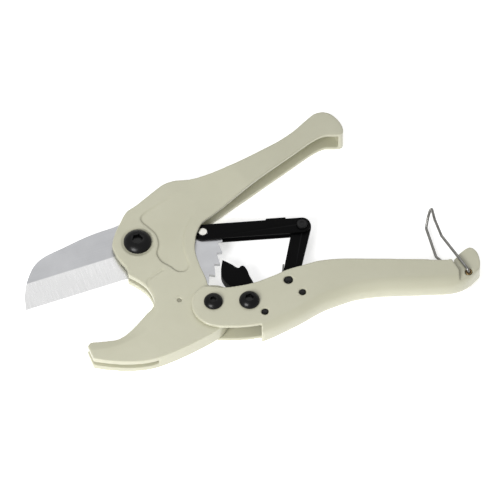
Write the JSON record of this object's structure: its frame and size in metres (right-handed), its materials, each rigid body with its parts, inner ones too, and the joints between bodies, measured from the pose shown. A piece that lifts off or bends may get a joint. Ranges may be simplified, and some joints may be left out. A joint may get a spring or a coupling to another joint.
{
  "type": "ratchet pipe cutter",
  "caption": "Hand-held ratchet cutter for plastic pipe: slotted cast head with hooked jaw, swinging blade, pawl-driven handle, retracting links and wire latch.",
  "frame": {"origin": "on the blade pivot's axis, at the flat end of the pivot bolt on the side the tool lies on", "axes": "+Z across the tool's thickness, parallel to every pivot; +X along the lower handle towards its tip; +Y towards the upper handle"},
  "size_m": [0.2274, 0.146, 0.0172],
  "materials": {
    "cast_body": "glossy cream-grey enamel on die-cast aluminium",
    "blade_steel": "ground, with a brighter bevel at the edge",
    "black_steel": "black oxide, slightly glossy",
    "wire_steel": "drawn spring wire",
    "bright_steel": "bright zinc plating",
    "bronze": "plain sintered bearing bronze"
  },
  "bodies": {
    "frame": {"main_frame": "cast_body", "blade_pivot_bolt": "black_steel", "blade_pivot_nut": "black_steel", "blade_pivot_bushing": "bronze", "blade_stop_pin": "cast_body", "handle_pivot_bolt": "black_steel", "handle_pivot_bushing": "bronze"},
    "lower_handle": {"lower_handle": "cast_body", "pawl_bolt": "black_steel", "pawl_spacer_near": "bright_steel", "pawl_spacer_far": "bright_steel", "link_pin": "black_steel", "link_spring": "wire_steel", "spring_stop_pin": "black_steel", "pawl_spring": "wire_steel", "pawl_spring_pin": "black_steel", "bail_bush_near": "bronze", "bail_bush_far": "bronze"},
    "blade": {"blade": "blade_steel", "link_rivet": "bright_steel"},
    "upper_link": {"upper_link": "black_steel", "elbow_rivet": "black_steel"},
    "lower_link": {"lower_link": "black_steel"},
    "pawl": {"pawl": "black_steel"},
    "wire_bail": {"wire_bail": "wire_steel"}
  },
  "joints": [
    {"name": "handle_pivot", "type": "hinge", "parent": "frame", "child": "lower_handle", "pos_m": [0.03795, -0.0367, 0.007], "axis": [0, 0, 1], "range_deg": [-7.2, 40]},
    {"name": "blade_pivot", "type": "hinge", "parent": "frame", "child": "blade", "pos_m": [0, 0, 0.007], "axis": [0, 0, 1], "range_deg": [-10.2, 56.2]},
    {"name": "upper_link_pivot", "type": "hinge", "parent": "blade", "child": "upper_link", "pos_m": [0.03255, 0.0074, 0.007], "axis": [0, 0, 1], "range_deg": [-60, 11]},
    {"name": "lower_link_pivot", "type": "hinge", "parent": "lower_handle", "child": "lower_link", "pos_m": [0.07535, -0.0236, 0.007], "axis": [0, 0, 1], "range_deg": [-37, 7], "deforming": ["link_spring"]},
    {"name": "pawl_pivot", "type": "hinge", "parent": "lower_handle", "child": "pawl", "pos_m": [0.0559, -0.036, 0.007], "axis": [0, 0, 1], "range_deg": [-52, 10], "deforming": ["pawl_spring"]},
    {"name": "bail_pivot", "type": "hinge", "parent": "lower_handle", "child": "wire_bail", "pos_m": [0.1654, -0.0178, 0.007], "axis": [0, 0, 1], "range_deg": [-20.5, 4]}
  ],
  "couplings": [
    {"joint": "blade_pivot", "follows": "handle_pivot", "ratio": 1.4},
    {"joint": "upper_link_pivot", "follows": "handle_pivot", "ratio": -1.48},
    {"joint": "lower_link_pivot", "follows": "handle_pivot", "ratio": -0.91},
    {"joint": "pawl_pivot", "follows": "handle_pivot", "ratio": -1.28},
    {"joint": "bail_pivot", "follows": "handle_pivot", "ratio": -0.5}
  ]
}
